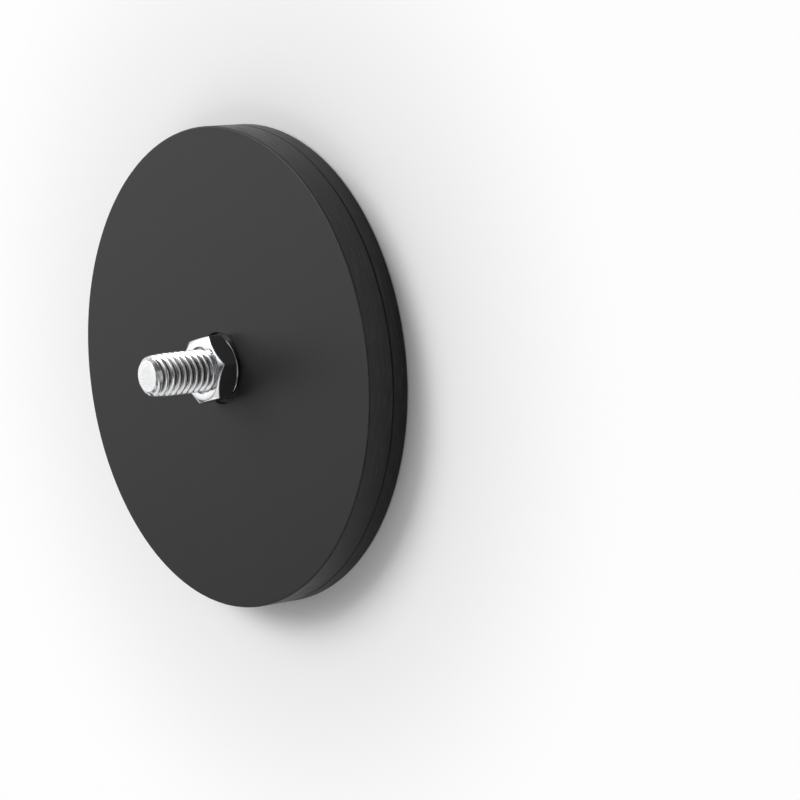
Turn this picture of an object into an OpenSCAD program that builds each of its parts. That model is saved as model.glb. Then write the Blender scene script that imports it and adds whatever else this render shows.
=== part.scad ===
// Rubber-coated magnetic mount: a flat round magnet with a threaded stud and a thin lock nut.
// The magnetic face lies on z = 0 and the stud stands up along +Z. Sizes are in millimetres.

/* [Disc] */
// Outside diameter of the rubber jacket
disc_d = 88; // [80:1:120]
// Thickness of the disc, from the magnetic face to the stud face
disc_t = 8.5; // [7.5:0.1:14]
// Rubber between the magnets and the magnetic face
base_skin = 1; // [0.6:0.1:1.6]
// Rubber outside the edge of the steel plate
rim_wall = 4; // [2:0.5:7]
// Rounding of the edge on the stud side
top_edge_r = 0.3; // [0.2:0.1:1.2]
// Rounding of the edge on the magnetic face
base_edge_r = 0.4; // [0.2:0.1:1]

/* [Parting line] */
// Height of the mould's parting line above the magnetic face
parting_z = 3.2; // [2:0.1:5]
// Width of the parting line where it meets the rim
parting_w = 0.4; // [0.2:0.1:0.8]
// Depth of the parting line
parting_depth = 0.25; // [0.1:0.05:0.5]

/* [Hub recess] */
// Width of the recess in the rubber around the bush
hub_gap = 0.9; // [0.5:0.1:2]
// Depth of the recess
hub_recess = 0.8; // [0.4:0.1:0.9]

/* [Magnets] */
// Diameter of each disc magnet
magnet_d = 12; // [8:0.5:14]
// Thickness of each disc magnet
magnet_t = 3; // [2:0.1:4]
// Chamfer on the magnets' edges
magnet_chamfer = 0.25; // [0.1:0.05:0.5]
// Number of magnets in the outer ring
outer_count = 12; // [6:1:13]
// Number of magnets in the inner ring
inner_count = 6; // [3:1:7]

/* [Steel plate] */
// Thickness of the plate that carries the magnets
plate_t = 2.5; // [1.5:0.1:3.5]
// Chamfer on the plate's edges
plate_chamfer = 0.3; // [0.1:0.05:0.6]

/* [Threaded bush] */
// Diameter of the bush's neck, which passes up through the plate
bush_d = 11.3; // [10:0.1:14]
// Diameter of the bush's flange, under the plate
flange_d = 20; // [16:0.5:24]
// Thickness of the bush's flange
flange_t = 2; // [1.5:0.1:2.5]
// Metal left below the bush's blind thread
bush_floor = 0.8; // [0.5:0.1:1.2]
// Height of the bush's end above the stud face
bush_rise = 0.2; // [0:0.1:1]
// Chamfer on the bush's end
bush_chamfer = 0.2; // [0.1:0.05:0.6]

/* [Stud] */
// Diameter over the crests of the thread
thread_d = 7.8; // [6:0.1:9]
// Pitch of the thread
thread_pitch = 1.25; // [1:0.05:1.5]
// Height of the stud's tip above the stud face
stud_rise = 16; // [12:0.5:40]
// Chamfer on the stud's ends
stud_chamfer = 1; // [0.5:0.1:1.5]
// Room below the stud's lower end in the bush
stud_end_gap = 0.3; // [0.1:0.1:1]

/* [Lock nut] */
// Nut size across its flats
nut_af = 11.5; // [11.2:0.1:15]
// Thickness of the nut
nut_t = 4; // [3:0.1:6.5]
// Diameter of the round bearing face at each end of the nut
nut_face_d = 11; // [10:0.1:11.2]
// Slope of the chamfer that rounds the nut's corners
nut_chamfer_deg = 30; // [15:1:45]
// Turn of the nut's first corner from the front
nut_turn = 4; // [0:1:59]
// Widening of the threaded holes at their mouths, on the diameter
mouth_flare = 0.9; // [0.2:0.1:1]

/* [Fits] */
// Clearance between the rubber and what it is moulded around
mould_fit = 0.05; // [0.02:0.01:0.2]
// Clearance of the bush in the plate's hole
plate_fit = 0.05; // [0.02:0.01:0.2]
// Clearance between the stud and the threads that hold it
thread_fit = 0.05; // [0.02:0.01:0.1]

/* [Hidden] */
$fn = 96;
cut_over = 1;

// Levels up the disc
plate_z = base_skin + magnet_t;
plate_top = plate_z + plate_t;
flange_z = plate_z - flange_t;
nut_seat = disc_t + bush_rise;
nut_top = nut_seat + nut_t;
stud_foot = flange_z + bush_floor + stud_end_gap;
stud_tip = disc_t + stud_rise;

// Radii
disc_r = disc_d / 2;
plate_r = disc_r - rim_wall;
magnet_r = magnet_d / 2;
bush_r = bush_d / 2;
flange_r = flange_d / 2;
recess_r = bush_r + hub_gap;
crest_r = thread_d / 2;

// A 60 degree thread meets its mate at the pitch diameter, 0.6495 of a pitch below the crests
pitch_drop = 0.6495;
meshed_r = (thread_d - pitch_drop * thread_pitch) / 2;
tapped_r = meshed_r + thread_fit;
mouth_r = crest_r + mouth_flare / 2;

// Both rings of magnets share the room between the flange and the plate's edge evenly
web = (plate_r - flange_r - 2 * magnet_d) / 3;
inner_ring_r = flange_r + web + magnet_r;
outer_ring_r = plate_r - web - magnet_r;

// Colours
rubber_black = [0.13, 0.13, 0.13];
zinc_bright = [0.78, 0.79, 0.81];
nickel = [0.70, 0.69, 0.66];
mild_steel = [0.45, 0.46, 0.48];

// A flat round blank with both edges chamfered, standing on z = 0
module chamfered_disc(r, t, chamfer) {
    rotate_extrude()
        polygon([
            [0, 0], [r - chamfer, 0], [r, chamfer],
            [r, t - chamfer], [r - chamfer, t], [0, t]
        ]);
}

// A tapped hole from z0 up to z1, flared at its upper mouth
module tapped_hole(z0, z1) {
    flare = mouth_r - tapped_r;
    translate([0, 0, z0])
        cylinder(r = tapped_r, h = z1 - z0 + cut_over);
    translate([0, 0, z1 - flare])
        cylinder(r1 = tapped_r, r2 = mouth_r + cut_over, h = flare + cut_over);
}

// Where magnet i of a ring sits
module ring_place(i, count, ring_r) {
    rotate([0, 0, 360 * (i - 1) / count])
        translate([ring_r, 0, base_skin])
            children();
}

// Half section of the moulded disc, with round edges
module disc_section() {
    square([disc_r - max(top_edge_r, base_edge_r), disc_t]);
    square([disc_r - base_edge_r, disc_t - top_edge_r]);
    translate([0, base_edge_r])
        square([disc_r - top_edge_r, disc_t - base_edge_r]);
    translate([0, base_edge_r])
        square([disc_r, disc_t - base_edge_r - top_edge_r]);
    translate([disc_r - top_edge_r, disc_t - top_edge_r])
        circle(r = top_edge_r);
    translate([disc_r - base_edge_r, base_edge_r])
        circle(r = base_edge_r);
}

// Section of the vee that the mould leaves round the rim
module parting_vee() {
    translate([disc_r, parting_z])
        polygon([
            [-parting_depth, 0],
            [0, -parting_w / 2],
            [cut_over, -parting_w / 2],
            [cut_over, parting_w / 2],
            [0, parting_w / 2]
        ]);
}

// One moulding that seals in the plate, the magnets and the bush's flange
module rubber_jacket() {
    color(rubber_black)
        difference() {
            rotate_extrude()
                difference() {
                    disc_section();
                    parting_vee();
                }
            translate([0, 0, plate_z])
                chamfered_disc(plate_r + mould_fit, plate_t, plate_chamfer);
            translate([0, 0, plate_z])
                cylinder(r = bush_r + mould_fit, h = disc_t + cut_over);
            translate([0, 0, disc_t - hub_recess])
                cylinder(r = recess_r, h = hub_recess + cut_over);
            translate([0, 0, flange_z])
                cylinder(r = flange_r + mould_fit, h = flange_t + plate_t / 2);
            for (i = [1 : inner_count])
                ring_place(i, inner_count, inner_ring_r) magnet_pocket();
            for (i = [1 : outer_count])
                ring_place(i, outer_count, outer_ring_r) magnet_pocket();
        }
}

// The room that one magnet takes in the rubber, open to the plate above it
module magnet_pocket() {
    chamfered_disc(magnet_r + mould_fit, magnet_t + plate_t / 2, magnet_chamfer);
}

// Soft steel disc that closes the magnets' field behind them
module backing_plate() {
    color(mild_steel)
        translate([0, 0, plate_z])
            difference() {
                chamfered_disc(plate_r, plate_t, plate_chamfer);
                translate([0, 0, -cut_over])
                    cylinder(r = bush_r + plate_fit, h = plate_t + 2 * cut_over);
            }
}

// Turned bush: its flange pulls on the plate from below and its blind thread holds the stud
module threaded_bush() {
    color(zinc_bright)
        difference() {
            rotate_extrude()
                polygon([
                    [0, flange_z], [flange_r, flange_z], [flange_r, plate_z], [bush_r, plate_z],
                    [bush_r, nut_seat - bush_chamfer], [bush_r - bush_chamfer, nut_seat],
                    [0, nut_seat]
                ]);
            tapped_hole(flange_z + bush_floor, nut_seat);
        }
}

// Stud: the meshed stretch is drawn at the pitch diameter and the free stretch at its crests
module stud() {
    color(zinc_bright)
        rotate_extrude()
            polygon([
                [0, stud_foot], [meshed_r - stud_chamfer, stud_foot],
                [meshed_r, stud_foot + stud_chamfer], [meshed_r, nut_top], [crest_r, nut_top],
                [crest_r, stud_tip - stud_chamfer], [crest_r - stud_chamfer, stud_tip],
                [0, stud_tip]
            ]);
}

// The solid of revolution that rounds the nut's corners at both ends
module nut_turning() {
    corner_r = nut_af / sqrt(3) + cut_over;
    face_r = nut_face_d / 2;
    fall = (corner_r - face_r) * tan(nut_chamfer_deg);
    rotate_extrude()
        polygon([
            [0, 0], [face_r, 0], [corner_r, fall],
            [corner_r, nut_t - fall], [face_r, nut_t], [0, nut_t]
        ]);
}

// Thin hexagon nut, jammed down on the bush to lock the stud
module lock_nut() {
    hexagon_d = 2 * nut_af / sqrt(3);
    color(zinc_bright)
        difference() {
            translate([0, 0, nut_seat])
                intersection() {
                    rotate([0, 0, nut_turn - 90])
                        linear_extrude(height = nut_t)
                            circle(d = hexagon_d, $fn = 6);
                    nut_turning();
                }
            tapped_hole(nut_seat - cut_over, nut_top);
            translate([0, 0, nut_top + nut_seat])
                mirror([0, 0, 1])
                    tapped_hole(nut_seat - cut_over, nut_top);
        }
}

// One nickel-plated disc magnet
module magnet() {
    color(nickel)
        chamfered_disc(magnet_r, magnet_t, magnet_chamfer);
}

module inner_magnet(i) {
    ring_place(i, inner_count, inner_ring_r) magnet();
}

module outer_magnet(i) {
    ring_place(i, outer_count, outer_ring_r) magnet();
}

rubber_jacket();
backing_plate();
threaded_bush();
stud();
lock_nut();
for (i = [1 : inner_count])
    inner_magnet(i);
for (i = [1 : outer_count])
    outer_magnet(i);
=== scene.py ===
# %% [markdown]
# A rubber-coated magnetic mount.
# The real object is a flat black disc of moulded rubber, 88 mm across. A steel plate and two rings of
# small magnets are sealed inside it, and a bright threaded stud with a thin lock nut stands on one face.
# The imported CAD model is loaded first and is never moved, and the main sizes are read from it. Blender
# adds what the solids leave out: soft edges, a true screw thread, and the finish of each surface.

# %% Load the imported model
import math

import bmesh
import bpy
from mathutils import Matrix, Vector


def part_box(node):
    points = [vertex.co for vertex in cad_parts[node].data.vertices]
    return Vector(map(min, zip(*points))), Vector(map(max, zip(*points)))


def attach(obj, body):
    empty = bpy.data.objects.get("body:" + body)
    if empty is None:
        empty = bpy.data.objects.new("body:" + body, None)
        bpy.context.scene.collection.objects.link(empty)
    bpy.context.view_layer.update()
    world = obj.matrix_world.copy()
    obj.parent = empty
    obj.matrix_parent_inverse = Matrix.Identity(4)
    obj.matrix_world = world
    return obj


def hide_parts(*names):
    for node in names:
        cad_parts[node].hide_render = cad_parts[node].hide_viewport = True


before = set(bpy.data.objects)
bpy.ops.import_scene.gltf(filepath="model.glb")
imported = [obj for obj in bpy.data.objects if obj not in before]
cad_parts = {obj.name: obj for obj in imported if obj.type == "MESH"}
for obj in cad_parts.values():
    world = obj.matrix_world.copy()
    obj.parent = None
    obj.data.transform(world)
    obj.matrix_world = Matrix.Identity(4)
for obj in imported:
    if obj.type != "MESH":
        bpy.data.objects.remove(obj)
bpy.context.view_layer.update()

MM = 0.001


def in_mm(lengths):
    """Lengths in millimetres, rounded for printing."""
    return [round(length / MM, 3) for length in lengths]


# %% [markdown]
# Most pieces of this mount are turned, so a radius and two heights say nearly all about them. They can be
# read from each node's box, which keeps the looks on the solids when a size in the CAD model changes.

# %% Read the sizes of the round pieces
def turned_size(node):
    """Radius, lowest and highest height of a node that is round about the Z axis."""
    low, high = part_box(node)
    return high.x, low.z, high.z


disc_r, base_z, face_z = turned_size("rubber_jacket")
plate_r, plate_low, plate_high = turned_size("backing_plate")
flange_r, flange_low, bush_high = turned_size("threaded_bush")
crest_r, stud_low, stud_high = turned_size("stud")
nut_low, nut_high = (corner.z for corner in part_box("lock_nut"))

print("disc radius and thickness in mm:", in_mm((disc_r, face_z - base_z)))
print("stud radius over its crests in mm:", in_mm([crest_r]))

# %% [markdown]
# The camera could be placed by eye, but the disc's edge is a circle, and a circle seen at an angle gives
# the view away: how flat the ellipse is tells the tilt, where its short axis points tells the turn, and the
# change in its width from front to back tells the distance. These values come from such a fit.

# %% Place the camera
IMAGE_PX = 800
LENS_MM = 135.0
SENSOR_MM = 36.0
FACE_CENTRE_PX = (219.8, 368.2)
FACE_DEPTH = 546.6 * MM
STUD_TILT = math.radians(51.7)
STUD_TURN = math.radians(172.5)


def put_in_scene(name, data):
    """A new object with this data, at the origin of the scene."""
    thing = bpy.data.objects.new(name, data)
    bpy.context.scene.collection.objects.link(thing)
    return thing


# These are in the picture's own axes: right, down and away from the camera
stud_axis = Vector((
    math.sin(STUD_TILT) * math.cos(STUD_TURN),
    math.sin(STUD_TILT) * math.sin(STUD_TURN),
    -math.cos(STUD_TILT),
))
away = Vector((0, 0, 1))
back_axis = (away - stud_axis * stud_axis.dot(away)).normalized()
focal_px = LENS_MM / SENSOR_MM * IMAGE_PX
sight = Vector([(at - IMAGE_PX / 2) / focal_px for at in FACE_CENTRE_PX] + [1.0]) * FACE_DEPTH

# These are in the part's axes. A camera in Blender has its Y axis up and looks along -Z
part_from_picture = Matrix((back_axis.cross(stud_axis), back_axis, stud_axis))
camera_turn = part_from_picture @ Matrix.Diagonal((1, -1, -1))
camera_place = Vector((0, 0, face_z)) - part_from_picture @ sight

camera = put_in_scene("camera", bpy.data.cameras.new("camera"))
camera.data.lens = LENS_MM
camera.data.sensor_width = SENSOR_MM
camera.matrix_world = Matrix.Translation(camera_place) @ camera_turn.to_4x4()
bpy.context.scene.camera = camera
bpy.context.scene.view_settings.view_transform = "Standard"
print("camera in mm:", in_mm(camera_place))

# %% [markdown]
# Finishes and Geometry Nodes are both node trees. Wiring them by hand hides the idea behind the wires, so
# a small class lets a tree be written as sums: each operation on a value adds the Math node that does it.
# Any other node comes from one method, which takes its type, its settings and what goes into its sockets.

# %% Write node trees as expressions
class Value:
    """One output of a node. Operations on values add the Math nodes that work them out."""

    def __init__(self, graph, socket):
        self.graph = graph
        self.socket = socket

    def output(self, name):
        """Another output of the same node."""
        return Value(self.graph, self.socket.node.outputs[name])

    def math(self, operation, *others):
        """A Math node with this value first and the others after it."""
        return self.graph.math(operation, self, *others)

    def at_least(self, limit):
        return self.math("MAXIMUM", limit)

    def at_most(self, limit):
        return self.math("MINIMUM", limit)

    def __add__(self, other):
        return self.math("ADD", other)

    def __sub__(self, other):
        return self.math("SUBTRACT", other)

    def __rsub__(self, other):
        return self.graph.math("SUBTRACT", other, self)

    def __mul__(self, other):
        return self.math("MULTIPLY", other)

    def __truediv__(self, other):
        return self.math("DIVIDE", other)

    def __abs__(self):
        return self.math("ABSOLUTE")

    __radd__ = __add__
    __rmul__ = __mul__


class Graph:
    """A node tree that is written node by node."""

    # A Mix node has sockets of the same names for numbers, vectors and colours. These are its colours.
    MIX_COLOUR_A = 6
    MIX_COLOUR_B = 7
    MIX_COLOUR_OUT = 2

    def __init__(self, tree):
        self.tree = tree
        tree.nodes.clear()

    def add(self, kind, settings={}, sockets={}, output=0):
        """Adds a node, sets it up, feeds its sockets from values or constants, and gives one output."""
        node = self.tree.nodes.new(kind)
        for name, setting in settings.items():
            setattr(node, name, setting)
        for name, given in sockets.items():
            for one in given if isinstance(given, list) else [given]:
                if isinstance(one, Value):
                    self.tree.links.new(one.socket, node.inputs[name])
                else:
                    node.inputs[name].default_value = one
        return Value(self, node.outputs[output]) if node.outputs else None

    def math(self, operation, *operands):
        """A Math node on values and plain numbers."""
        return self.add("ShaderNodeMath", {"operation": operation}, dict(enumerate(operands)))

    def between(self, value, low, high):
        """0 up to the low value, 1 from the high value, and a smooth rise between them."""
        sockets = {"Value": value, "From Min": low, "From Max": high}
        return self.add("ShaderNodeMapRange", {"interpolation_type": "SMOOTHSTEP"}, sockets)

    def blend(self, factor, first, second):
        """A colour between two others."""
        sockets = {"Factor": factor, self.MIX_COLOUR_A: first, self.MIX_COLOUR_B: second}
        return self.add("ShaderNodeMix", {"data_type": "RGBA"}, sockets, self.MIX_COLOUR_OUT)


# %% [markdown]
# A finish needs the same few things each time: the place on the piece, some noise at a real size in
# millimetres, and a bump of a real height. Object coordinates are in metres here, and the pieces sit at the
# origin, so a pattern keeps its size and stays put on the piece.

# %% Helpers for the finishes
class Finish(Graph):
    """A material's node tree, with the parts that every finish here uses."""

    def __init__(self, name):
        self.material = bpy.data.materials.new(name)
        self.material.use_nodes = True
        super().__init__(self.material.node_tree)
        self.place = self.add("ShaderNodeTexCoord", output="Object")
        self.x = self.add("ShaderNodeSeparateXYZ", {}, {"Vector": self.place})
        self.y = self.x.output("Y")
        self.z = self.x.output("Z")

    def radius(self):
        """Distance from the stud's axis."""
        return (self.x * self.x + self.y * self.y).math("SQRT")

    def noise(self, size, detail=2.0, place=None):
        """Soft noise from 0 to 1, with patches of about this size."""
        sockets = {"Vector": place or self.place, "Scale": 1.0 / size, "Detail": detail}
        return self.add("ShaderNodeTexNoise", {}, sockets)

    def lines(self, along, size, detail=2.0):
        """Noise from 0 to 1 that changes only with one value, for marks that run along the other way."""
        sockets = {"W": along, "Scale": 1.0 / size, "Detail": detail}
        return self.add("ShaderNodeTexNoise", {"noise_dimensions": "1D"}, sockets)

    def bump(self, height, depth, under=None):
        """A normal that is shaped by a height from 0 to 1 over this depth, on top of another bump."""
        sockets = {"Height": height, "Distance": depth, "Strength": 1.0}
        if under is not None:
            sockets["Normal"] = under
        return self.add("ShaderNodeBump", {}, sockets)

    def done(self, kind, sockets):
        """Ends the tree in a shader of this kind with these sockets, and gives the material."""
        self.add("ShaderNodeOutputMaterial", {}, {"Surface": self.add(kind, {}, sockets)})
        print("finish", self.material.name, "with", len(self.tree.nodes), "nodes")
        return self.material


# %% [markdown]
# The jacket is nitrile rubber straight from the mould: black, matt and very even. A flat black would look
# like a hole in the picture. Real rubber shows a fine grain, and faint cloudy patches where it has bloomed.
# The rim also has the fine turning lines of the mould, and pale scuffs along it from handling. All four
# are slight, so each is only a small change of tone, roughness or bump.

# %% Finish of the black rubber
RUBBER_DEEP = (0.008, 0.008, 0.0082, 1.0)
RUBBER_BLOOM = (0.014, 0.014, 0.0142, 1.0)
RUBBER_SCUFF = (0.027, 0.027, 0.0272, 1.0)
RUBBER_GLOSS = 0.325
RUBBER_ROUGHNESS = 0.39
BLOOM_PATCH = 14 * MM
BLOOM_DETAIL = 4.0
BLOOM_SHARE = 0.75
BLOOM_ROUGHENS = 0.06
GRAIN_SIZE = 0.30 * MM
GRAIN_DETAIL = 3.0
GRAIN_DEPTH = 0.016 * MM
GRAIN_ROUGHENS = 0.05
RIM_INSET = (0.3 * MM, 0.1 * MM)
RIM_SMOOTHS = 0.06
MOULD_LINE = 0.35 * MM
MOULD_LINE_DEPTH = 0.004 * MM
SCUFF_LENGTH = 4.0 * MM
SCUFF_STRETCH = 8.0
SCUFF_DETAIL = 6.0
SCUFF_RANGE = (0.42, 0.76)
SCUFF_ROUGHENS = 0.15


def black_rubber():
    """Matt black rubber, with mould lines and scuffs on the rim."""
    finish = Finish("black_rubber")
    bloom = finish.noise(BLOOM_PATCH, BLOOM_DETAIL)
    grain = finish.noise(GRAIN_SIZE, GRAIN_DETAIL)
    tone = BLOOM_SHARE * bloom + (1 - BLOOM_SHARE) * grain
    clean = finish.blend(tone, RUBBER_DEEP, RUBBER_BLOOM)
    rim = finish.between(finish.radius(), *(disc_r - inset for inset in RIM_INSET))
    turning = finish.lines(finish.z, MOULD_LINE) * rim
    along_rim = finish.add("ShaderNodeCombineXYZ", {}, {
        "X": finish.x, "Y": finish.y, "Z": finish.z * SCUFF_STRETCH,
    })
    marks = finish.noise(SCUFF_LENGTH, SCUFF_DETAIL, along_rim)
    scuffed = finish.between(marks, *SCUFF_RANGE) * rim
    roughness = RUBBER_ROUGHNESS + BLOOM_ROUGHENS * bloom + GRAIN_ROUGHENS * grain
    return finish.done("ShaderNodeBsdfPrincipled", {
        "Base Color": finish.blend(scuffed, clean, RUBBER_SCUFF),
        "Roughness": roughness - RIM_SMOOTHS * rim + SCUFF_ROUGHENS * scuffed,
        "Specular IOR Level": RUBBER_GLOSS,
        "Normal": finish.bump(turning, MOULD_LINE_DEPTH, finish.bump(grain, GRAIN_DEPTH)),
    })


rubber = black_rubber()

# %% [markdown]
# A turned or moulded round piece is one half section swept round its axis. The Screw modifier could do
# that, but a few lines of mesh code also allow a row to change with the angle. The nut's six sides and the
# slight wander of the mould's parting line both need that.

# %% Turn a half section round the axis
NO_RADIUS = 1e-9


def arc(centre_r, centre_z, radius, start, end, steps=8):
    """Points of a round stretch of a half section, between two angles in degrees."""
    angles = [math.radians(start + (end - start) * step / steps) for step in range(steps + 1)]
    return [(centre_r + radius * math.cos(a), centre_z + radius * math.sin(a)) for a in angles]


def turned(name, rows, columns):
    """A mesh of rows (radius, height) swept round Z. A row may be a function that gives both at an angle.
    Rows run out along the base, up the outside and in along the top, so that the faces point outwards."""
    points, rings, faces = [], [], []
    angles = [math.tau * column / columns for column in range(columns)]
    for row in rows:
        at = [row(a) if callable(row) else row for a in angles]
        if at[0][0] < NO_RADIUS:
            at = at[:1]
        rings.append([len(points) + k for k in range(len(at))])
        points += [(r * math.cos(a), r * math.sin(a), z) for (r, z), a in zip(at, angles)]
    for lower, upper in zip(rings, rings[1:]):
        for k in range(columns):
            corners = [(lower, k), (lower, k + 1), (upper, k + 1), (upper, k)]
            around = [ring[step % len(ring)] for ring, step in corners]
            faces.append(list(dict.fromkeys(around)))
    mesh = bpy.data.meshes.new(name)
    mesh.from_pydata(points, [], faces)
    mesh.validate()
    return mesh


# %% [markdown]
# The rubber's half section starts in the middle of the magnetic face. It goes out to the small round edge,
# up the rim past the parting line, over the other edge, in along the stud face to the recess at the hub,
# and down inside round the plate and the bush's flange. The parting line isn't drawn as a dark stripe: it
# is a real vee, so it catches light on one side at every angle.

# %% Half section of the jacket
TOP_EDGE_R = 0.3 * MM
BASE_EDGE_R = 0.4 * MM
PARTING_Z = base_z + 3.2 * MM
PARTING_W = 0.4 * MM
PARTING_DEPTH = 0.25 * MM
PARTING_WANDER = 0.03 * MM
RECESS_EDGE_R = 0.15 * MM
RECESS_EDGE_STEPS = 5
RECESS_DEPTH = 0.8 * MM
BUSH_NECK_R = 5.65 * MM
HUB_GAP = 0.9 * MM
MOULD_FIT = 0.05 * MM
PLATE_CHAMFER = 0.3 * MM
JACKET_COLUMNS = 288

# The wander is a sum of waves round the rim: how many there are, how strong, and where they start
PARTING_WAVES = ((3, 1.0, 0.4), (8, 0.6, 1.9), (23, 0.3, 0.0))

recess_r = BUSH_NECK_R + HUB_GAP
recess_z = face_z - RECESS_DEPTH
cavity_r = plate_r + MOULD_FIT


def parting_row(inset, offset):
    """A row of the parting line, which wanders a little up and down round the rim."""
    def at(angle):
        waves = (strength * math.sin(count * angle + start) for count, strength, start in PARTING_WAVES)
        return disc_r - inset, PARTING_Z + offset + PARTING_WANDER * sum(waves)
    return at


jacket_rows = [
    (0, base_z),
    *arc(disc_r - BASE_EDGE_R, base_z + BASE_EDGE_R, BASE_EDGE_R, -90, 0),
    parting_row(0, -PARTING_W / 2),
    parting_row(PARTING_DEPTH, 0),
    parting_row(0, PARTING_W / 2),
    *arc(disc_r - TOP_EDGE_R, face_z - TOP_EDGE_R, TOP_EDGE_R, 0, 90),
    *arc(recess_r + RECESS_EDGE_R, face_z - RECESS_EDGE_R, RECESS_EDGE_R, 90, 180, RECESS_EDGE_STEPS),
    (recess_r, recess_z),
    (BUSH_NECK_R + MOULD_FIT, recess_z),
    (BUSH_NECK_R + MOULD_FIT, plate_high),
    (cavity_r - PLATE_CHAMFER, plate_high),
    (cavity_r, plate_high - PLATE_CHAMFER),
    (cavity_r, plate_low + PLATE_CHAMFER),
    (cavity_r - PLATE_CHAMFER, plate_low),
    (flange_r + MOULD_FIT, plate_low),
    (flange_r + MOULD_FIT, flange_low),
    (0, flange_low),
]
jacket_mesh = turned("moulded_jacket", jacket_rows, JACKET_COLUMNS)
print("jacket section:", len(jacket_rows), "rows,", len(jacket_mesh.polygons), "faces")

# %% [markdown]
# What repeats or follows a rule is best left to Geometry Nodes: here the magnets' pockets and the screw
# thread. Each tree has named inputs for its sizes. It is run on a mesh by a modifier whose inputs are set
# first, and what it shows is kept as a plain mesh, so that no modifier stays on the piece.

# %% Run a Geometry Nodes tree
GEOMETRY = "Geometry"
MATERIAL = "Material"


def new_tree(name, kinds):
    """An empty Geometry Nodes tree with these named inputs, and its inputs as values."""
    tree = bpy.data.node_groups.new(name, "GeometryNodeTree")
    tree.interface.new_socket(GEOMETRY, in_out="OUTPUT", socket_type="NodeSocketGeometry")
    for input_name, kind in kinds.items():
        tree.interface.new_socket(input_name, in_out="INPUT", socket_type="NodeSocket" + kind)
    graph = Graph(tree)
    given = graph.add("NodeGroupInput")
    return graph, {input_name: given.output(input_name) for input_name in kinds}


def end_tree(graph, geometry, material):
    """Ends a tree in plain geometry with its material."""
    real = graph.add("GeometryNodeRealizeInstances", {}, {GEOMETRY: geometry})
    dressed = graph.add("GeometryNodeSetMaterial", {}, {GEOMETRY: real, MATERIAL: material})
    graph.add("NodeGroupOutput", {}, {GEOMETRY: dressed})
    return graph.tree


def as_mesh(holder):
    """What an object shows with its modifiers, as a plain mesh. The object itself is removed."""
    bpy.context.view_layer.update()
    shown = holder.evaluated_get(bpy.context.evaluated_depsgraph_get())
    mesh = bpy.data.meshes.new_from_object(shown)
    bpy.data.objects.remove(holder)
    return mesh


def grown(name, mesh, tree, sizes):
    """Runs a tree on a mesh with these sizes, and gives the result as a plain mesh."""
    holder = put_in_scene(name, mesh)
    modifier = holder.modifiers.new(tree.name, "NODES")
    modifier.node_group = tree
    for socket in tree.interface.items_tree:
        if socket.name in sizes:
            modifier[socket.identifier] = sizes[socket.name]
    return as_mesh(holder)


# %% [markdown]
# Each magnet sits in its own pocket in the rubber, open to the plate above it. The pockets could be cut one
# by one. In a tree, one cylinder is copied to the points of a circle, and the copies are cut out together.
# The same tree cuts both rings.

# %% Cut the magnets' pockets
POCKET_COLUMNS = 48


def pocket_tree():
    """A tree that cuts a ring of round pockets into a shape."""
    graph, size = new_tree("ring_of_pockets", {
        GEOMETRY: "Geometry", "Count": "Int", "Ring radius": "Float", "Pocket radius": "Float",
        "Floor": "Float", "Top": "Float", MATERIAL: "Material",
    })
    circle = graph.add("GeometryNodeMeshCircle", {}, {
        "Vertices": size["Count"], "Radius": size["Ring radius"],
    })
    middle = graph.add("ShaderNodeCombineXYZ", {}, {"Z": (size["Floor"] + size["Top"]) / 2})
    lifted = graph.add("GeometryNodeSetPosition", {}, {GEOMETRY: circle, "Offset": middle})
    pocket = graph.add("GeometryNodeMeshCylinder", {}, {
        "Radius": size["Pocket radius"], "Depth": size["Top"] - size["Floor"], "Vertices": POCKET_COLUMNS,
    })
    pockets = graph.add("GeometryNodeInstanceOnPoints", {}, {"Points": lifted, "Instance": pocket})
    cutters = graph.add("GeometryNodeRealizeInstances", {}, {GEOMETRY: pockets})
    settings = {"operation": "DIFFERENCE", "solver": "EXACT"}
    cut = graph.add("GeometryNodeMeshBoolean", settings, {"Mesh 1": size[GEOMETRY], "Mesh 2": cutters})
    return end_tree(graph, cut, size[MATERIAL])


ring_cutter = pocket_tree()
for ring in ("inner", "outer"):
    magnet_low, magnet_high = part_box(ring + "_magnet_1")
    magnets = [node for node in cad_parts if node.startswith(ring + "_magnet_")]
    jacket_mesh = grown("moulded_jacket", jacket_mesh, ring_cutter, {
        "Count": len(magnets),
        "Ring radius": (magnet_low.x + magnet_high.x) / 2,
        "Pocket radius": (magnet_high.x - magnet_low.x) / 2 + MOULD_FIT,
        "Floor": magnet_low.z,
        "Top": (plate_low + plate_high) / 2,
        MATERIAL: rubber,
    })
    print(ring, "ring:", len(magnets), "pockets,", len(jacket_mesh.polygons), "faces in the jacket")

# %% [markdown]
# A finished piece is shaded smooth, except across edges that are sharp on the real thing. Weighted normals
# keep the large flat faces flat right up to a small rounding beside them. The piece then goes under the
# mount's body, so the frame knows what to move, and the solid that it stands for is hidden.

# %% Hand a finished piece to the frame
SHARP_ANGLE = math.radians(35)


def open_edges(mesh):
    """Number of edges that don't join exactly two faces. A closed piece has none."""
    shape = bmesh.new()
    shape.from_mesh(mesh)
    count = sum(not edge.is_manifold for edge in shape.edges)
    shape.free()
    return count


def finished(name, mesh, node):
    """Makes the piece from its mesh, shades it and puts it in the place of a CAD node."""
    mesh.name = name
    mesh.polygons.foreach_set("use_smooth", [True] * len(mesh.polygons))
    mesh.set_sharp_from_angle(angle=SHARP_ANGLE)
    piece = put_in_scene(name, mesh)
    weighted = piece.modifiers.new("flat_faces_stay_flat", "WEIGHTED_NORMAL")
    weighted.keep_sharp = True
    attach(piece, "root")
    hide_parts(node)
    mesh.calc_loop_triangles()
    print(name, "has", len(mesh.loop_triangles), "triangles and", open_edges(mesh), "open edges")


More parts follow.
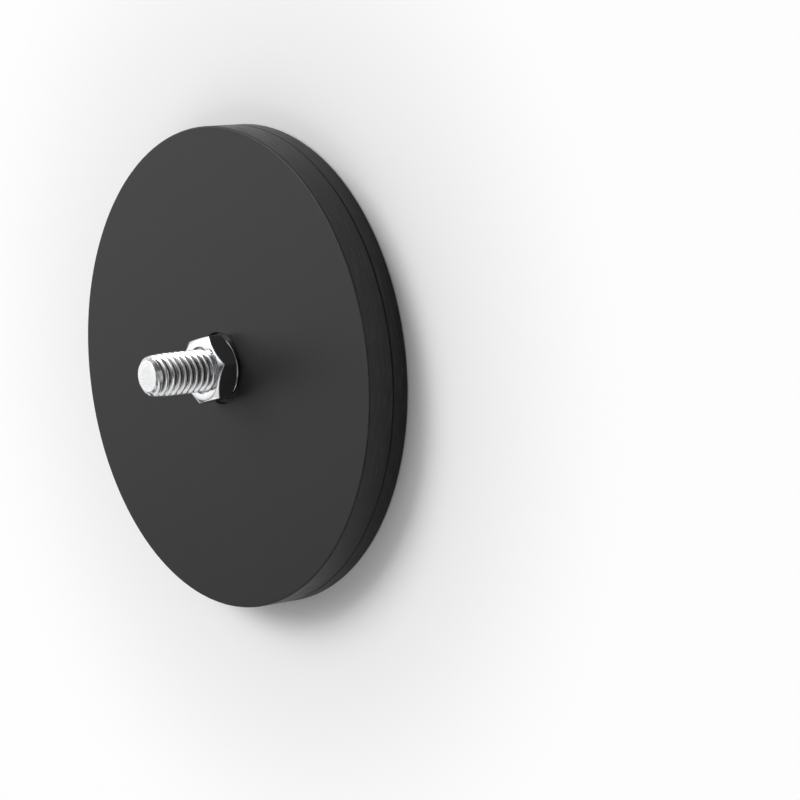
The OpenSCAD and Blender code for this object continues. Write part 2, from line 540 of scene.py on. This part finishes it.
finished("moulded_jacket", jacket_mesh, "rubber_jacket")

# %% [markdown]
# Stud, nut and bush are steel with bright zinc plate. It mirrors its surroundings, so most of its look
# comes from what stands round it. The finish adds what breaks the mirror: slight clouding of the plate,
# fine turning rings on the flat ends and duller flanks to the thread. Painted shade darkens the thread's
# roots, where the grooves lie in shadow. The stud's tip is rough and matt, because the rod was cropped to
# length there.

# %% Finish of the zinc plate
ZINC_BRIGHT = (0.86, 0.865, 0.875, 1.0)
ZINC_CLOUD = (0.74, 0.745, 0.755, 1.0)
# Dark colour of the painted shade in the thread's roots
ZINC_ROOT_SHADE = (0.13, 0.13, 0.13, 1.0)
ZINC_CROPPED = (0.76, 0.76, 0.76, 1.0)
ZINC_ROUGHNESS = 0.09
CLOUD_PATCH = 1.4 * MM
CLOUD_DETAIL = 3.0
CLOUD_ROUGHENS = 0.08
PLATE_GRAIN = 0.12 * MM
PLATE_GRAIN_DEPTH = 0.003 * MM
PLATE_GRAIN_ROUGHENS = 0.05
FLAT_RANGE = (0.9, 0.98)
TURNING_PITCH = 0.16 * MM
TURNING_DEPTH = 0.0035 * MM
FLANK_ROUGHENS = 0.04
CROP_PATCH = 0.3 * MM
CROP_DETAIL = 6.0
CROP_HEIGHT = 10.0
CROP_RANGE = (0.30, 0.70)
CROP_ROUGHENS = 0.08
CROP_EDGE_LOSS = 0.5

# Distances at which a mask starts and ends: above the thread's root, below the tip, and from the axis
# The painted shade in the thread's roots fades out over the first band above the root
ROOT_SHADE_BAND = (0.05 * MM, 0.30 * MM)
DULL_FLANK = (0.45 * MM, 0.70 * MM)
CHAMFER_STARTS = (1.1 * MM, 0.9 * MM)
CROP_STARTS = (0.05 * MM, 0.01 * MM)
CROP_EDGE = (1.0 * MM, 2.8 * MM)


def zinc_plate(name, root_r):
    """Bright zinc, duller and then darkened by painted shade towards this radius, where a thread has its
    roots.
    """
    finish = Finish(name)
    radius = finish.radius()

    def near_root(start, end):
        return 1 - finish.between(radius, root_r + start, root_r + end)

    def near_tip(start, end):
        return finish.between(finish.z, stud_high - start, stud_high - end)

    cloud = finish.noise(CLOUD_PATCH, CLOUD_DETAIL)
    grain = finish.noise(PLATE_GRAIN)
    facing = finish.add("ShaderNodeNewGeometry", output="Normal")
    upright = abs(finish.add("ShaderNodeSeparateXYZ", {}, {"Vector": facing}, output="Z"))
    flat = finish.between(upright, *FLAT_RANGE)
    rings = finish.lines(radius, TURNING_PITCH) * flat
    threaded = (1 - near_tip(*CHAMFER_STARTS)) * (1 - flat)
    # Painted shade: the flanks darken into the thread's roots, where the grooves lie in shadow
    root_shade = near_root(*ROOT_SHADE_BAND) * threaded
    dull = near_root(*DULL_FLANK) * threaded
    end = near_tip(*CROP_STARTS)
    kept = 1 - CROP_EDGE_LOSS * finish.between(radius, *CROP_EDGE)
    cropped = end * finish.noise(CROP_PATCH, CROP_DETAIL) * kept

    plated = finish.blend(cloud, ZINC_BRIGHT, ZINC_CLOUD)
    plated = finish.blend(finish.between(cropped, *CROP_RANGE), plated, ZINC_CROPPED)
    roughness = ZINC_ROUGHNESS + CLOUD_ROUGHENS * cloud + PLATE_GRAIN_ROUGHENS * grain
    grained = finish.bump(grain, PLATE_GRAIN_DEPTH)
    return finish.done("ShaderNodeBsdfPrincipled", {
        # The base colour carries the painted shade in the thread's roots
        "Base Color": finish.blend(root_shade, plated, ZINC_ROOT_SHADE),
        "Metallic": 1.0,
        "Roughness": roughness + FLANK_ROUGHENS * dull + CROP_ROUGHENS * end,
        "Normal": finish.bump(rings * (1 - end) + cropped * CROP_HEIGHT, TURNING_DEPTH, grained),
    })


# A 60 degree thread on a rod is 0.6134 of its pitch deep
THREAD_PITCH = 1.25 * MM
DEPTH_PER_PITCH = 0.6134
thread_root_r = crest_r - DEPTH_PER_PITCH * THREAD_PITCH
zinc_thread = zinc_plate("zinc_thread", thread_root_r)
zinc_turned = zinc_plate("zinc_turned", 0.0)

# %% [markdown]
# A screw thread is a ridge with two sloping flanks, a narrow flat crest and a root. Real ones have no
# knife edges, so the flanks run smoothly into crest and root. A rod's thread is rolled between dies, which
# squeeze the metal up from both sides: a fine crease stays along the crest, and the last turns, which the
# dies fill least, stand lower. The ends are cut off at 45 degrees.

# %% Shape the thread's section
CREST_FLAT = 0.14
ROOT_FLAT = 0.15
EDGE_SOFTNESS = 0.06
CREASE_WIDTH = 0.16
CREASE_SPREAD = 2.0


def ridge_shape(pitches):
    """How near a point is to the middle of the crest, and how high the ridge is there, both from 0 to 1."""
    nearness = abs(2 * pitches.math("FRACT") - 1)
    slope = (nearness - ROOT_FLAT) / (1 - ROOT_FLAT - CREST_FLAT)
    topped = slope.math("SMOOTH_MIN", 1.0, EDGE_SOFTNESS)
    return nearness, topped.math("SMOOTH_MAX", 0.0, EDGE_SOFTNESS)


def cut_ends(radius, size, height, hole):
    """The radius with both ends cut at 45 degrees: a chamfer on a rod, and a flare on a hole."""
    for end, inwards in (("Foot", height - size["Foot"]), ("Tip", size["Tip"] - height)):
        end_r = size[end + " end radius"]
        radius = radius.at_least(end_r - inwards) if hole else radius.at_most(end_r + inwards)
    return radius


def rolled_rod(radius, size, height, nearness):
    """The radius with the crease along the crests, and with the last turns lowered."""
    lead = (size["Tip"] - height) / size["Lead length"]
    unfilled = 1 - lead.at_most(1.0)
    spread = 1 + CREASE_SPREAD * unfilled
    crease = (1 - (1 - nearness) / (CREASE_WIDTH * spread)).at_least(0.0)
    lowered = size["Crest radius"] - size["Lead drop"] * unfilled
    return radius.at_most(lowered) - crease * size["Crease depth"] * spread


# %% [markdown]
# A row of separate rings would look like a thread from one side only. Here a flat grid is rolled up: one
# side of the grid runs round the axis and the other up it, and each row climbs one pitch as it goes round,
# so that the ridge lies exactly along the rows and its edge is clean. Rows that pass an end are pressed
# flat on it, which cuts the thread off square. The same steps make the threaded hole of a nut or a bush,
# where the surface faces inwards, the ends flare out, and the rest of the piece is joined on.

# %% Roll up a thread
STEPS_PER_PITCH = 28
THREAD_COLUMNS = 96
PITCHES_BELOW = 2
SPARE_PITCHES = 3
WELD = 0.0005 * MM
THREAD_INPUTS = {
    GEOMETRY: "Geometry", "Rows": "Int", "Pitch": "Float", "Root radius": "Float", "Crest radius": "Float",
    "Foot": "Float", "Tip": "Float", "Foot end radius": "Float", "Tip end radius": "Float",
    "Closed foot": "Float", "Closed tip": "Float", MATERIAL: "Material",
}
ROLLING_INPUTS = {"Lead drop": "Float", "Lead length": "Float", "Crease depth": "Float"}


def thread_tree(name, hole):
    """A tree for a threaded rod, or for a threaded hole that is joined to the given body."""
    graph, size = new_tree(name, THREAD_INPUTS if hole else {**THREAD_INPUTS, **ROLLING_INPUTS})
    rows, pitch, foot, tip = (size[key] for key in ("Rows", "Pitch", "Foot", "Tip"))
    grid = graph.add("GeometryNodeMeshGrid", {}, {
        "Size X": 1.0, "Size Y": 1.0, "Vertices X": rows, "Vertices Y": THREAD_COLUMNS + 1,
    })
    place = graph.add("GeometryNodeInputPosition")
    across = graph.add("ShaderNodeSeparateXYZ", {}, {"Vector": place})
    # The grid is 1 by 1 about its middle, so adding a half counts from its edge
    turns = across.output("Y") + 0.5
    climb = (across + 0.5) * (rows - 1) * pitch / STEPS_PER_PITCH
    free = foot + climb + (turns - PITCHES_BELOW) * pitch
    height = free.at_least(foot).at_most(tip)

    nearness, ridge = ridge_shape((climb + foot) / pitch)
    radius = size["Root radius"] + (size["Crest radius"] - size["Root radius"]) * ridge
    radius = cut_ends(radius, size, height, hole)
    if not hole:
        radius = rolled_rod(radius, size, height, nearness)

    # Past a closed end the rows shrink to a point in its middle
    past_tip = (free - tip).at_least(0.0) * size["Closed tip"]
    past_foot = (foot - free).at_least(0.0) * size["Closed foot"]
    radius = radius * (1 - (past_tip + past_foot) / pitch).at_least(0.0)

    angle = turns * math.tau
    around = graph.add("ShaderNodeCombineXYZ", {}, {
        "X": radius * angle.math("COSINE"), "Y": radius * angle.math("SINE"), "Z": height,
    })
    rolled = graph.add("GeometryNodeSetPosition", {}, {GEOMETRY: grid, "Position": around})
    if not hole:
        rolled = graph.add("GeometryNodeFlipFaces", {}, {"Mesh": rolled})
    joined = graph.add("GeometryNodeJoinGeometry", {}, {GEOMETRY: [size[GEOMETRY], rolled]})
    welded = graph.add("GeometryNodeMergeByDistance", {}, {GEOMETRY: joined, "Distance": WELD})
    return end_tree(graph, welded, size[MATERIAL])


def thread_rows(foot, tip):
    """Rows that a thread needs from foot to tip, with spare ones that are pressed flat on the ends."""
    return math.ceil(((tip - foot) / THREAD_PITCH + SPARE_PITCHES) * STEPS_PER_PITCH) + 1


rod_tree = thread_tree("threaded_rod", hole=False)
hole_tree = thread_tree("threaded_hole", hole=True)
print("thread trees:", len(rod_tree.nodes), "and", len(hole_tree.nodes), "nodes")

# %% [markdown]
# The stud is a length of rolled thread with a chamfer at each end. It has a thread all the way down, also
# where the nut and the bush hide it, because it is cut from a longer rod. It is turned by the same angle as
# the nut, so that the two threads mesh.

# %% Make the stud
STUD_CHAMFER = 1.0 * MM
LEAD_LENGTH = 3.6 * MM
LEAD_DROP = 0.32 * MM
CREASE_DEPTH = 0.035 * MM
FRONT_DEG = -90
NUT_CORNER_DEG = 4
NUT_TURN = Matrix.Rotation(math.radians(FRONT_DEG + NUT_CORNER_DEG), 4, "Z")

stud_mesh = grown("threaded_stud", bpy.data.meshes.new("threaded_stud"), rod_tree, {
    "Rows": thread_rows(stud_low, stud_high), "Pitch": THREAD_PITCH,
    "Root radius": thread_root_r, "Crest radius": crest_r,
    "Foot": stud_low, "Tip": stud_high,
    "Foot end radius": crest_r - STUD_CHAMFER, "Tip end radius": crest_r - STUD_CHAMFER,
    "Closed foot": 1.0, "Closed tip": 1.0,
    "Lead drop": LEAD_DROP, "Lead length": LEAD_LENGTH, "Crease depth": CREASE_DEPTH,
    MATERIAL: zinc_thread,
})
stud_mesh.transform(NUT_TURN)
finished("threaded_stud", stud_mesh, "stud")

# %% [markdown]
# The nut and the bush both have a threaded hole with a flared mouth. Their outsides are turned meshes that
# stop at the mouth, and the thread is joined on there. It is a little wider than the stud's thread, so that
# the two never touch.

# %% Join a threaded hole to a body
MOUTH_FLARE = 0.45 * MM
HOLE_ROOM = 0.05 * MM
HOLE_LAND_R = 3.35 * MM

mouth_r = crest_r + MOUTH_FLARE
print("mouth radius of the threaded holes in mm:", in_mm([mouth_r]))


def with_thread(name, body, foot, tip, foot_end_r, closed_foot):
    """A turned body with a threaded hole joined on at its mouth."""
    mesh = grown(name, body, hole_tree, {
        "Rows": thread_rows(foot, tip), "Pitch": THREAD_PITCH,
        "Root radius": HOLE_LAND_R, "Crest radius": crest_r + HOLE_ROOM,
        "Foot": foot, "Tip": tip,
        "Foot end radius": foot_end_r, "Tip end radius": mouth_r,
        "Closed foot": closed_foot, "Closed tip": 0.0,
        MATERIAL: zinc_turned,
    })
    mesh.transform(NUT_TURN)
    return mesh


# %% [markdown]
# The nut is a slice of hexagon bar whose corners are turned off at 30 degrees at both ends, which leaves
# the curved edge that every nut has. It could be cut out with booleans. Sweeping a section whose radius
# follows the hexagon gives that curve directly, with clean rows of faces. A small bevel breaks its edges.

# %% Make the lock nut
NUT_AF = 11.5 * MM
NUT_FACE_R = 5.5 * MM
NUT_CHAMFER = math.radians(30)
NUT_EDGE = 0.10 * MM
NUT_EDGE_STEPS = 3
NUT_EDGE_ANGLE = math.radians(20)
SIXTH = math.tau / 6


def side_r(angle):
    """Distance from the axis to the hexagon's side. A corner lies at angle 0."""
    return NUT_AF / 2 / math.cos(angle % SIXTH - SIXTH / 2)


def side_row(end_z, inwards):
    """The curved edge at one end, where the turned corner meets the six sides."""
    fall = inwards * math.tan(NUT_CHAMFER)
    return lambda angle: (side_r(angle), end_z + (side_r(angle) - NUT_FACE_R) * fall)


def with_broken_edges(mesh):
    """The same mesh with its sharp edges rounded off a little."""
    holder = put_in_scene(mesh.name, mesh)
    bevel = holder.modifiers.new("broken_edges", "BEVEL")
    bevel.width = NUT_EDGE
    bevel.segments = NUT_EDGE_STEPS
    bevel.limit_method = "ANGLE"
    bevel.angle_limit = NUT_EDGE_ANGLE
    return as_mesh(holder)


nut_rows = [
    (mouth_r, nut_low), (NUT_FACE_R, nut_low), side_row(nut_low, 1),
    side_row(nut_high, -1), (NUT_FACE_R, nut_high), (mouth_r, nut_high),
]
nut_body = with_broken_edges(turned("hexagon_nut", nut_rows, THREAD_COLUMNS))
nut_mesh = with_thread("hexagon_nut", nut_body, nut_low, nut_high, foot_end_r=mouth_r, closed_foot=0.0)
finished("hexagon_nut", nut_mesh, "lock_nut")

# %% [markdown]
# The bush is the turned piece that holds the stud. Its flange lies under the plate and its neck comes up
# through it, so a pull on the stud is carried by the steel and not by the rubber. Only the bright end of
# the neck shows, just behind the nut. Its thread is blind, so the hole's foot is closed.

# %% Make the bush
BUSH_CHAMFER = 0.2 * MM
BUSH_FLOOR = 0.8 * MM

bush_rows = [
    (0, flange_low),
    (flange_r, flange_low),
    (flange_r, plate_low),
    (BUSH_NECK_R, plate_low),
    (BUSH_NECK_R, bush_high - BUSH_CHAMFER),
    (BUSH_NECK_R - BUSH_CHAMFER, bush_high),
    (mouth_r, bush_high),
]
bush_body = turned("turned_bush", bush_rows, THREAD_COLUMNS)
hole_low = flange_low + BUSH_FLOOR
bush_mesh = with_thread("turned_bush", bush_body, hole_low, bush_high, foot_end_r=0.0, closed_foot=1.0)
finished("turned_bush", bush_mesh, "threaded_bush")

# %% [markdown]
# The plate and the magnets are sealed in the rubber, and their solids already have the right shape, so they
# stay as they came and only get a finish: dull punched steel for the plate, and bright nickel for the
# magnets, a little warmer than the zinc.

# %% Finish the plate and the magnets
STEEL_GREY = (0.40, 0.41, 0.43, 1.0)
STEEL_DARK = (0.24, 0.24, 0.25, 1.0)
STEEL_ROUGHNESS = 0.35
NICKEL_BRIGHT = (0.70, 0.67, 0.60, 1.0)
NICKEL_CLOUD = (0.60, 0.57, 0.51, 1.0)
NICKEL_ROUGHNESS = 0.08
TONE_PATCH = 3.0 * MM
TONE_DETAIL = 4.0
TONE_ROUGHENS = 0.2
METAL_GRAIN_ROUGHENS = 0.1


def plain_metal(name, bright, dull, roughness):
    """A metal with cloudy patches between two tones."""
    finish = Finish(name)
    cloud = finish.noise(TONE_PATCH, TONE_DETAIL)
    grain = finish.noise(PLATE_GRAIN)
    return finish.done("ShaderNodeBsdfPrincipled", {
        "Base Color": finish.blend(cloud, bright, dull),
        "Metallic": 1.0,
        "Roughness": roughness + TONE_ROUGHENS * cloud + METAL_GRAIN_ROUGHENS * grain,
        "Normal": finish.bump(grain, PLATE_GRAIN_DEPTH),
    })


punched_steel = plain_metal("punched_steel", STEEL_GREY, STEEL_DARK, STEEL_ROUGHNESS)
nickel_plate = plain_metal("nickel_plate", NICKEL_BRIGHT, NICKEL_CLOUD, NICKEL_ROUGHNESS)
for name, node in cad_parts.items():
    if name == "backing_plate" or "_magnet_" in name:
        metal = punched_steel if name == "backing_plate" else nickel_plate
        for used in node.material_slots:
            used.material = metal

# %% [markdown]
# The mount lies on a plain white table. The table is a real surface, so the disc keeps its contact shadow,
# and the rim mirrors that shadow. Further out, what the camera and bright metal see of the table is lifted
# to an even white. The lift is a mix with a plain white glow, so it adds no light to the mount.

# %% Make the floor
FLOOR_HALF = 4.0
FLOOR_DROP = 0.02 * MM
FLOOR_WHITE = (0.96, 0.96, 0.96, 1.0)
FLOOR_LIFT = 0.92
SHADOW_REACH = 60 * MM


def table_white():
    """White that is lifted to an even level away from the disc, for the camera and for mirrors."""
    finish = Finish("table_white")
    rays = finish.add("ShaderNodeLightPath", output="Is Camera Ray")
    seen = rays.at_least(rays.output("Is Glossy Ray")).at_least(rays.output("Is Transmission Ray"))
    clear = finish.between(finish.radius(), disc_r, disc_r + SHADOW_REACH)
    lit = finish.add("ShaderNodeBsdfDiffuse", {}, {"Color": FLOOR_WHITE})
    glow = finish.add("ShaderNodeEmission", {}, {"Strength": 1.0})
    return finish.done("ShaderNodeMixShader", {"Fac": seen * FLOOR_LIFT * clear, 1: lit, 2: glow})


floor_z = base_z - FLOOR_DROP
floor_corners = [
    (-FLOOR_HALF, -FLOOR_HALF, floor_z), (FLOOR_HALF, -FLOOR_HALF, floor_z),
    (FLOOR_HALF, FLOOR_HALF, floor_z), (-FLOOR_HALF, FLOOR_HALF, floor_z),
]
floor_mesh = bpy.data.meshes.new("table")
floor_mesh.from_pydata(floor_corners, [], [(0, 1, 2, 3)])
floor_mesh.materials.append(table_white())
table = put_in_scene("table", floor_mesh)

# %% [markdown]
# Bright metal looks like what stands round it, so the light is planned by reflections. The key panel gives
# most of the light. The nut's face and the stud's tip mirror what is behind the disc, so the back panel
# stands there. The side, top and low panels stand where the thread's flanks mirror them, and the front
# panel fills the rim. Each panel's power is worked out from the share of white that it gives a white table,
# so that the shares add up to a plain level.

# %% Light the scene
# Direction from the mount, distance and width in metres, and share of white
PANELS = {
    "key_panel": ((0.52, 0.45, 0.72), 1.5, 0.80, 0.36),
    "back_panel": ((0.31, 0.73, 0.62), 1.0, 0.80, 0.085),
    "side_panel": ((-0.57, 0.19, 0.80), 1.0, 0.80, 0.12),
    "top_panel": ((0.46, 0.00, 0.89), 1.0, 0.50, 0.055),
    "low_panel": ((-0.60, 0.69, 0.40), 1.0, 0.40, 0.016),
    "front_panel": ((-0.10, -0.85, 0.52), 1.2, 1.20, 0.05),
}


def panel(name, direction, distance, width, share):
    """A soft square panel that faces the mount from a direction and gives this share of white."""
    towards = Vector(direction).normalized()
    lamp = bpy.data.lights.new(name, "AREA")
    lamp.size = width
    lamp.energy = share * math.pi ** 2 * distance ** 2 / towards.z
    facing = towards.to_track_quat("Z", "Y").to_matrix().to_4x4()
    holder = put_in_scene(name, lamp)
    holder.matrix_world = Matrix.Translation(towards * distance) @ facing
    print(name, "gives", share, "of white with", round(lamp.energy, 2), "W")


for name, layout in PANELS.items():
    panel(name, *layout)

# %% [markdown]
# Between the panels, bright metal mirrors the room. An even white room would wash the thread out. This one
# is pale behind the mount and straight above it, and dim to one side and in front. A dark strip crosses
# overhead, which draws the dark bands along the stud. The tones are blended by direction, so no walls have
# to be built.

# %% The room that the metal mirrors
ROOM_PALE = (0.60, 0.60, 0.60, 1.0)
ROOM_DIM = (0.10, 0.10, 0.10, 1.0)
ROOM_STRIP = (0.03, 0.03, 0.03, 1.0)
PALE_BACK = (-0.30, 0.20)
PALE_SIDE = (-0.42, 0.06)
PALE_TOP = (0.78, 0.92)
PALE_TOP_SHARE = 0.8
STRIP_HEIGHT = (0.55, 0.85)
STRIP_MIDDLE = -0.06
STRIP_EDGE = (0.03, 0.24)

world = bpy.data.worlds.new("pale_room")
world.use_nodes = True
bpy.context.scene.world = world
room = Graph(world.node_tree)
direction = room.add("ShaderNodeTexCoord", output="Generated")
sideways = room.add("ShaderNodeSeparateXYZ", {}, {"Vector": direction})
backwards = sideways.output("Y")
upwards = sideways.output("Z")
behind = room.between(backwards, *PALE_BACK) * room.between(sideways, *PALE_SIDE)
pale = behind.at_least(room.between(upwards, *PALE_TOP) * PALE_TOP_SHARE)
strip = 1 - room.between(abs(sideways - STRIP_MIDDLE), *STRIP_EDGE)
overhead = room.between(upwards, *STRIP_HEIGHT) * strip
walls = room.blend(overhead, room.blend(pale, ROOM_DIM, ROOM_PALE), ROOM_STRIP)
lining = room.add("ShaderNodeBackground", {}, {"Color": walls})
room.add("ShaderNodeOutputWorld", {}, {"Surface": lining})
print("room of", len(world.node_tree.nodes), "nodes")
